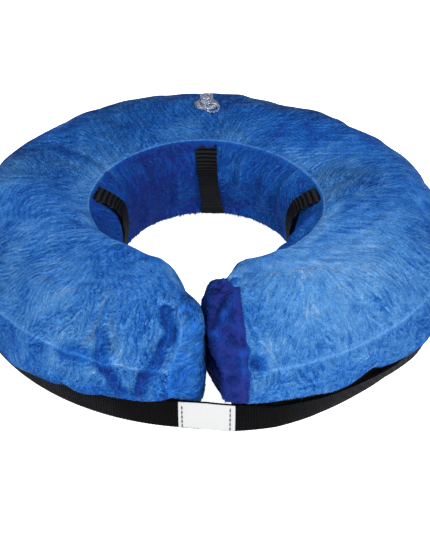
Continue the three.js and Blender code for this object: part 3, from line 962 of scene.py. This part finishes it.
def sheet(path, thickness):
    """The closed outline of a sheet along a path of (radius, height) points, thickened to its left."""
    along = unit(np.gradient(path, axis=0))
    across = np.stack([-along[:, 1], along[:, 0]], axis=1)
    return np.vstack([path, (path + across * thickness)[::-1]])


def tube(name, path, radius, sides=6, closed=False):
    """A round cord along a path of 3-D points."""
    path = np.asarray(path, float)
    along = np.roll(path, -1, axis=0) - np.roll(path, 1, axis=0) if closed else np.gradient(path, axis=0)
    along = unit(along)
    aside = unit(np.cross(along, (0.0, 0.02, 1.0)))
    up = np.cross(aside, along)
    angle = np.linspace(0, 2 * math.pi, sides, endpoint=False)[None, :, None]
    thick = np.broadcast_to(radius, len(path))[:, None, None]
    ring = aside[:, None] * np.cos(angle) + up[:, None] * np.sin(angle)
    return capped(name, (path[:, None] + ring * thick).reshape(-1, 3), len(path), closed)


def turned(name, outline, place, steps, ripple=None):
    """A closed piece turned on an upright axis at a place: outline rows are (radius, height)."""
    radius, height = np.asarray(outline, float).T[:, None]
    angle = np.linspace(0, 2 * math.pi, steps, endpoint=False)[:, None]
    height = height + (ripple(radius, angle) if ripple else 0)
    across, along = place[0] + radius * np.cos(angle), place[1] + radius * np.sin(angle)
    points = np.stack([across, along, np.broadcast_to(height, across.shape)], axis=-1)
    return capped(name, points.reshape(-1, 3), steps, wrap_rings=True)


def joined(name, pieces):
    """One object from several."""
    points, faces = [], []
    for piece in pieces:
        start = sum(len(p) for p in points)
        points.append(vertex_array(piece))
        faces += [[v + start for v in p.vertices] for p in piece.data.polygons]
        bpy.data.objects.remove(piece)
    return new_object(name, np.vstack(points), faces)


# ---------------------------------------------------------------- seams, base and air chamber

def seam_cord(name, side):
    """The thin line of knitted backing that shows along a seam."""
    points, normals = SEAMS[name]
    turn = np.degrees(turn_of(points)) * side
    path = (points + normals * SEAM_STAND)[(turn > 0) & (turn < 178.5 - END_SEAM)]
    fine = smooth_line(path[::2], len(path) * 3)
    fine = fine + 0.3 * np.stack([waves(fine, 9, seed) for seed in (51, 52, 53)], axis=1)
    cord = tube(f"seam_cord_{name}_{SIDES[side]}", fine, 0.50 + 0.12 * waves(fine, 6, 54), 6)
    dress(cord, SEAM, "plush")
    follow_arm(cord)


def base_outline(turn):
    """Section of the nylon base and rim, 1.2 mm thick, between the foot of the neck wall and the hem."""
    foot = shape(LINES[0][:1], turn)[0]
    inner = float(np.hypot(foot[0], foot[1])) + 1.0
    inner = min(inner, RIM_RADIUS - 40)
    path = [(inner, 0.6), (inner + 3, 0.0)]
    path += [(between(inner + 3, RIM_RADIUS - 2, share), 0.0) for share in (0.3, 0.6)]
    path += [(RIM_RADIUS - 2 + 2 * math.sin(a), 2 - 2 * math.cos(a)) for a in np.linspace(0, math.pi / 2, 5)]
    path += [(RIM_RADIUS, z) for z in np.linspace(6, RIM_TOP, 5)]
    return sheet(np.array(path), 1.2)


def make_base(side):
    turns = side * np.linspace(0, 180 - END_SEAM + 1.5, 200)
    base = sweep(f"nylon_base_{SIDES[side]}", turns, base_outline)
    dress(base, NYLON, "black_nylon", *cad_nodes("base_panel", side))
    follow_arm(base)


def bladder_outline(half):
    """Section of one film of the air chamber, with its welded flange, by the angle from the back."""
    crest = LINES[1][:, 1].max()
    centre = np.array([(NECK_RADIUS + RIM_RADIUS) / 2 + 2, WELD_HEIGHT])
    angle = np.linspace(0, math.pi, 25)
    across = centre[0] - ((RIM_RADIUS - NECK_RADIUS) / 2 - AIR_GAP) * np.cos(angle)
    flange = np.array([(4.0, 0), (-4.0, 0)])
    if half == "upper":
        path = np.stack([across, centre[1] + 0.4 + (crest - AIR_GAP - centre[1]) * np.sin(angle)], axis=1)
    else:
        path = np.stack([across, centre[1] - 0.4 - (centre[1] - 5) * np.sin(angle) ** 0.55], axis=1)[::-1]
        flange = flange[::-1]
    closed = sheet(np.vstack([path[:1] - flange[:1], path, path[-1:] - flange[1:]]), -0.7)

    def outline(turn):
        from_gap = 180 - abs(turn)
        shrink = math.sqrt(max(0.0004, 1 - max(0, (24 - from_gap) / 14) ** 2))
        pushed = corner(from_gap, side_of(turn)) * 0.35
        shift = np.array([10 * (1 - shrink) + pushed, 0])
        return centre + shift + (closed - centre) * (shrink * (1 - 0.004 * max(0, 30 - from_gap)), shrink)
    return outline


def make_bladder(half, side):
    turns = side * np.linspace(0, 169.9, 170)
    film = sweep(f"air_chamber_{half}_{SIDES[side]}", turns, bladder_outline(half))
    dress(film, FILM, "bladder_film", *cad_nodes(f"bladder_{half}", side))
    follow_arm(film)


for each_side in (LEFT, RIGHT):
    make_base(each_side)
    for each in ("inner", "outer"):
        seam_cord(each, each_side)
    for each in ("upper", "lower"):
        make_bladder(each, each_side)


# ---------------------------------------------------------------- straps, fastener and label

def strap_place(beyond):
    """Foot and top of the strap's middle layer, as (radius, height), by the angle past the gap."""
    foot_out = np.interp(beyond, (-4, 0, 6, 14, 24, 42, 54, 66, 76), (0, .6, 4, 4.8, 2, .3, 2.6, 1.5, .3))
    foot_rise = np.interp(beyond, (22, 33, 42, 52), (0, 2.4, 2.8, 0))
    top_out = np.interp(beyond, (-4, 0, 7, 13, 24, 33, 42, 56, 68, 76),
                        (0, .4, 3.6, 7.5, 9, 9, 10, 7, 2, .3))
    top_drop = np.interp(beyond, (-2, 7, 13, 24, 44, 66, 76), (0, 1.2, 2.4, 3, 3, 2, 0))
    middle = (STRAP_INNER + STRAP_OUTER) / 2
    foot = np.array([middle + foot_out, STRAP_FOOT + foot_rise])
    return foot, np.array([middle + top_out, STRAP_TOP - top_drop])


def strap_outline(thickness=1.5, shift=0.0, relief=0.16, trim=(0.0, 1.0)):
    """Woven strap section by turn: thickness and shift outwards in mm, the part of its width as trim."""
    count = int(round((STRAP_TOP - STRAP_FOOT) / WEB_STEP))
    share = np.linspace(trim[0], trim[1], count)
    across_mm = share * (STRAP_TOP - STRAP_FOOT)

    def outline(turn):
        foot, top = strap_place(180 - turn)
        up = (top - foot) / np.linalg.norm(top - foot)
        out = np.array([up[1], -up[0]])
        bow = 0.5 * np.sin(share * math.pi)[:, None] * out
        line = foot + (top - foot) * share[:, None] + bow
        length = math.radians(turn) * STRAP_OUTER
        phase = 2 * math.pi / WEB_PITCH
        weave = relief * np.cos(phase * across_mm) * np.cos(phase * length * 0.8)
        edge = np.minimum(1, np.minimum(share - trim[0], trim[1] - share) * 30 + 0.45)
        outside = line + out * (shift + thickness / 2 * edge + weave)[:, None]
        inside = line + out * (shift - thickness / 2 * edge - weave)[:, None]
        return np.vstack([outside, inside[::-1]])
    return outline


def strap_turns(start, end, step=WEB_STEP):
    """Angles from the back along a stretch of strap given as angles past the gap."""
    count = int(abs(end - start) * math.pi / 180 * STRAP_OUTER / step) + 1
    return 180 - np.linspace(start, end, count)


def stitches(name, line, length=2.0, gap=1.1, radius=0.28):
    """A row of short rounded stitches along a line of 3-D points."""
    travelled = np.r_[0, np.cumsum(np.linalg.norm(np.diff(line, axis=0), axis=1))]
    starts = np.arange(0.3, travelled[-1] - length, length + gap)
    pieces = []
    for k, start in enumerate(starts):
        spots = np.linspace(start, start + length, 7)
        path = np.stack([np.interp(spots, travelled, line[:, a]) for a in range(3)], axis=1)
        rise = np.sin(np.linspace(0, math.pi, 7))
        pieces.append(tube(f"{name}_{k}", path, radius * (0.35 + 0.65 * rise), 6))
    return joined(name, pieces)


def on_strap(beyond, share, out):
    """A point on the strap: angle past the gap, share of its width, mm out from its middle."""
    foot, top = strap_place(beyond)
    up = (top - foot) / np.linalg.norm(top - foot)
    spot = foot + (top - foot) * share + np.array([up[1], -up[0]]) * (out + 0.5 * math.sin(share * math.pi))
    return polar(spot[0], math.radians(180 - beyond), spot[1])


def make_straps():
    tail_start = 180 + TAIL_START
    sewn = sweep("webbing_strap_sewn", strap_turns(-82, -tail_start), strap_outline())
    dress(sewn, WEBBING, "webbing", "strap_sewn")
    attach(sewn, "left_arm")
    tail = sweep("webbing_strap_tail", strap_turns(-tail_start, 75), strap_outline())
    dress(tail, WEBBING, "webbing", "strap_tail")
    follow_tail(tail)
    hook = sweep("hook_strip", strap_turns(18, 73), strap_outline(0.4, -1.1, 0.05, (0.06, 0.94)))
    hooks = spikes("hook_strip_hooks", hook, 70, 1.0, 0.35, 55, 61, inward=True)
    for piece in (hook, hooks):
        dress(piece, FUZZ, "hook_and_loop", *(["hook_patch"] if piece is hook else []))
        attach(piece, "closure_tail")


def spikes(name, target, density, length, width, lift, seed, inward=False):
    """Short stiff hairs on the side of a piece that faces away from the ring, or towards it if inward."""
    place, normal, _, rng = scatter(target, density * PILE_SHARE, seed)
    outwards = place * (1, 1, 0)
    facing = (outwards * normal).sum(axis=1) * (-1 if inward else 1) > 0.5 * np.linalg.norm(outwards, axis=1)
    place, normal = place[facing], normal[facing]
    count = len(place)
    along = unit(laid_flat(rng.normal(size=(count, 3)), normal))
    aside = np.cross(normal, along)
    raised = np.radians(rng.uniform(0.5, 1.3, count) * lift)[:, None]
    direction = along * np.cos(raised) + normal * np.sin(raised)
    half = width / 2
    reach_out = (length * rng.uniform(0.6, 1.3, count))[:, None]
    root = place - normal * 0.1
    rooted = [root - aside * half, root + aside * half, root + along * half * 1.6]
    return closed_outwards(spike_object(name, np.stack(rooted + [root + direction * reach_out], axis=1)))


def make_loop_band():
    """The brushed band round the right of the rim that the strap's hooks hold on to."""
    _, outer, foot, top = reach("loop_band")

    def outline(turn):
        edge = 0.5 * math.sin(turn * 2.1) + 0.3 * math.sin(turn * 5.3)
        heights = np.linspace(foot, top + 1.5 + edge, 16)
        return sheet(np.stack([np.full(16, outer + 0.2), heights], axis=1), 0.5)

    band = sweep("loop_band_ground", 180 - np.linspace(6, 78, 260), outline)
    loops = spikes("loop_band_pile", band, 190, 2.4, 0.5, 45, 71)
    for piece in (band, loops):
        dress(piece, FUZZ, "hook_and_loop", *(["loop_band"] if piece is band else []))
        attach(piece, "right_arm")


def make_label():
    """The blank label round the strap at the gap, with its stitches."""
    outline = strap_outline(0.4, 1.15, 0.02, (0.015, 0.985))
    label = sweep("blank_label", strap_turns(-LABEL_HALF, LABEL_HALF, 0.5), outline)
    dress(label, LABEL, "label", "woven_label")
    follow_tail(label)
    rows = []
    for beyond, side_name in ((-LABEL_HALF + 0.75, "left"), (LABEL_HALF - 1.0, "right")):
        line = np.array([on_strap(beyond, s, 1.42) for s in np.linspace(0.04, 0.96, 40)])
        rows.append(stitches(f"label_{side_name}", line, 3.4, 0.8, 0.5))
    line = np.array([on_strap(b, 0.045, 1.42) for b in np.linspace(-LABEL_HALF + 0.75, -1.5, 30)])
    rows.append(stitches("label_foot", line, 1.6, 0.8, 0.2))
    thread = joined("label_stitches", rows)
    dress(thread, THREAD, "label")
    follow_tail(thread)


LOOPS = {
    # CAD node: (angle from the back, sideways lean of its foot in mm)
    "neck_loop_back": (1.5, 7),
    "neck_loop_left_rear": (-82, -3),
    "neck_loop_left_front": (-142, 0),
    "neck_loop_right_rear": (83, 3),
    "neck_loop_right_front": (142, 0),
}


def wall_radius(turn, heights):
    """Least radius of the finished neck wall under a loop, at each height."""
    points = np.vstack(WALL)
    off = np.degrees(turn_of(points)) - turn
    near = points[np.abs((off + 180) % 360 - 180) < 8]
    radius = radius_of(near)
    window = 2.5
    inside = np.clip(heights, near[:, 2].min(), near[:, 2].max())
    least = np.array([radius[np.abs(near[:, 2] - z) < window].min() for z in inside])
    padded = np.pad(least, 3, mode="edge")
    return np.convolve(padded, np.ones(7) / 7, mode="valid")


def make_neck_loop(name, turn, lean):
    """A strip of webbing down the neck wall, sewn at both ends, that the pet's own collar runs through."""
    wall = smooth_line(LINES[0], 90)[:58 if name.endswith("front") else 90]
    path = shape(wall, turn)
    angle = math.radians(turn)
    inward = np.array([-math.sin(angle), -math.cos(angle), 0])
    aside = np.array([math.cos(angle), -math.sin(angle), 0])
    share = np.linspace(0, 1, len(path))
    stand = 1.4 + 0.8 * np.sin(share * math.pi)
    drawn = radius_of(path)
    sewn_to = np.maximum(wall_radius(turn, path[:, 2]), drawn - 5.0 * (1 - share ** 12))
    path[:, :2] *= ((sewn_to - stand) / drawn)[:, None]
    path = path + aside * (lean * (0.5 - share))[:, None]
    out = np.cross(aside, unit(np.gradient(path, axis=0)))
    out *= np.sign(out @ inward)[:, None]
    columns = 41
    v = np.linspace(-1, 1, columns)
    ribs = 0.13 * np.cos(v * math.pi * 9)
    width = (LOOP_WIDTH / 2 * (1 - 0.14 * np.sin(share * math.pi)))[:, None, None]
    cup = (0.9 * v ** 2)[None, :, None] * np.sin(share * math.pi)[:, None, None]
    spread = path[:, None] + aside * v[None, :, None] * width
    front = spread + out[:, None] * ((0.6 + ribs)[None, :, None] + cup)
    rear = spread - out[:, None] * ((0.6 - ribs)[None, :, None] - cup)
    points = np.concatenate([front, rear[:, ::-1]], axis=1).reshape(-1, 3)
    strip = capped(f"webbing_{name}", points, len(path))
    dress(strip, WEBBING, "webbing", name)
    if name == "neck_loop_back":
        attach(strip, "back")
    else:
        follow_arm(strip)


make_straps()
make_loop_band()
make_label()
for loop_name, (loop_turn, loop_lean) in LOOPS.items():
    make_neck_loop(loop_name, loop_turn, loop_lean)


# ---------------------------------------------------------------- valve

def make_valve():
    """The clear valve: a ribbed flange with its stem, and a plug with a pull ring."""
    low, high = (np.array(corner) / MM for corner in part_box("valve_body"))
    plug_low, plug_high = (np.array(corner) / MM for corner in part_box("valve_plug"))
    radius, flange, bore = VALVE_RADIUS, FLANGE_FOOT, 3.2
    body = [(bore, low[2]), (bore + 1.2, low[2]), (bore + 1.8, low[2] + 1), (5, flange - 1.2), (5.8, flange),
            (radius - 1, flange - 0.4), (radius, flange), (radius, flange + 0.6), (radius - 0.5, flange + 1),
            (7.4, flange + 1.1), (6.6, flange + 1.5), (6.0, flange + 2.2), (5.4, high[2] - 0.6),
            (5.0, high[2]), (bore + 0.4, high[2]), (bore, high[2] - 0.5)]

    def grip(r, angle):
        on_rim = smoothstep(7.4, 8.4, r) * smoothstep(radius + 0.4, radius - 0.6, r)
        return 0.22 * on_rim * np.cos(angle * 24)

    stem = turned("clear_valve_body", body, VALVE, 96, grip)
    dress(stem, VINYL, "clear_valve", "valve_body")
    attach(stem, "back")
    foot, top = plug_low[2], plug_high[2]
    cap = [(0.02, foot + 0.1), (4.6, foot), (5.5, foot + 0.2), (5.8, foot + 0.65), (5.6, top - 0.15),
           (5.0, top), (3.9, top - 0.15), (3.4, top - 0.45), (0.02, top - 0.5)]
    angle = np.linspace(0, 2 * math.pi, 48, endpoint=False)
    centre = np.array([VALVE[0] + 5.0, VALVE[1] - 10.2, foot - 0.9])
    round_it = centre + np.stack([6.2 * np.cos(angle), 5.4 * np.sin(angle), 1.7 * np.sin(angle)], axis=1)
    parts = [turned("clear_plug_cap", cap, VALVE, 72), tube("pull_ring", round_it, 0.85, 10, closed=True)]
    plug = joined("clear_plug", parts)
    dress(plug, VINYL, "clear_valve", "valve_plug")
    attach(plug, "plug")


make_valve()


# ---------------------------------------------------------------- zip

def make_zip(side):
    """One half of the zip: two tapes, each with its coil."""
    span = side * np.linspace(0.0, ZIP_HALF, 150)
    coil_turns = 62
    run = np.linspace(0, 1, coil_turns * 10)
    for level, phase in (("upper", 0), ("lower", math.pi)):
        inner, outer, foot, top = reach(f"zipper_tape_{level}")
        path = np.stack([np.full(14, outer), np.linspace(foot, top, 14)], axis=1)
        section = sheet(path, outer - inner)
        tape = sweep(f"zip_tape_{level}_{SIDES[side]}", span, lambda turn: section)
        dress(tape, TAPE, "zipper_black", *([f"zipper_tape_{level}"] if side == LEFT else []))
        inner, outer, foot, top = reach(f"zipper_coil_{level}")
        angle = run * coil_turns * 2 * math.pi + phase
        coil_radius = (inner + outer) / 2 + 0.55 * np.sin(angle)
        coil_height = (foot + top) / 2 + ((top - foot) / 2 + 0.3) * np.cos(angle)
        path = polar(coil_radius, np.radians(side * ZIP_HALF * run), coil_height)
        coil = tube(f"zip_coil_{level}_{SIDES[side]}", path, 0.3, 5)
        dress(coil, ZIP, "zipper_black", *([f"zipper_coil_{level}"] if side == LEFT else []))
        follow_arm(tape)
        follow_arm(coil)


def finish_cad_node(name, skin, width):
    """A CAD piece whose shape is right gets rounded edges and its own look."""
    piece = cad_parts[name]
    rounding = piece.modifiers.new("rounding", "BEVEL")
    rounding.width = width * MM
    rounding.segments = 2
    rounding.limit_method = "ANGLE"
    piece.data.materials.clear()
    piece.data.materials.append(skin)


for each_side in (LEFT, RIGHT):
    make_zip(each_side)
for part in ("zipper_stop_closed_end", "zipper_stop_open_end", "zipper_slider", "zipper_pull"):
    finish_cad_node(part, ZIP, 0.25)
finish_cad_node("valve_flap", VINYL, 0.08)


# ---------------------------------------------------------------- stage, light and camera

CAMERA_DISTANCE = 0.843     # metres
CAMERA_ELEVATION = 0.622    # radians
LENS = 66.7                 # mm


def make_stage():
    floor = new_object("floor", [(-9000, -9000, 0), (9000, -9000, 0), (9000, 9000, 0), (-9000, 9000, 0)],
                       [(0, 1, 2, 3)])
    floor.location.z = min(0.0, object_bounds()[0].z) - 0.0005
    made, tree, shader = material("floor")
    shader.inputs["Base Color"].default_value = (0.9, 0.9, 0.9, 1)
    shader.inputs["Roughness"].default_value = 0.9
    shader.inputs["Emission Color"].default_value = (1, 1, 1, 1)
    seen = node(tree, "ShaderNodeLightPath").outputs["Is Camera Ray"]
    tree.links.new(maths(tree, "MULTIPLY_ADD", seen, 0.6, 0.5), shader.inputs["Emission Strength"])
    floor.data.materials.append(made)


def area_light(name, place, size, power, colour=(1, 1, 1)):
    light = bpy.data.lights.new(name, "AREA")
    light.size = size
    light.energy = power
    light.color = colour
    made = bpy.data.objects.new(name, light)
    made.location = place
    made.rotation_euler = (-Vector(place)).to_track_quat("-Z", "Y").to_euler()
    bpy.context.scene.collection.objects.link(made)


def make_light():
    world = bpy.data.worlds.new("studio")
    world.use_nodes = True
    world.node_tree.nodes["Background"].inputs["Color"].default_value = (1, 1, 1, 1)
    world.node_tree.nodes["Background"].inputs["Strength"].default_value = 0.55
    bpy.context.scene.world = world
    area_light("key", (0.75, -1.0, 1.15), 0.7, 24)
    area_light("fill", (-0.9, -0.9, 1.0), 0.9, 12)
    bpy.context.scene.view_settings.view_transform = "Standard"


def make_camera():
    lens = bpy.data.cameras.new("camera")
    camera = bpy.data.objects.new("camera", lens)
    camera.location = (0, -CAMERA_DISTANCE * math.cos(CAMERA_ELEVATION),
                       CAMERA_DISTANCE * math.sin(CAMERA_ELEVATION))
    camera.rotation_euler = (math.pi / 2 - CAMERA_ELEVATION, 0, 0)
    lens.lens = LENS
    lens.shift_x = 0.0159
    lens.shift_y = -0.0039
    bpy.context.scene.collection.objects.link(camera)
    bpy.context.scene.camera = camera


make_stage()
make_light()
make_camera()
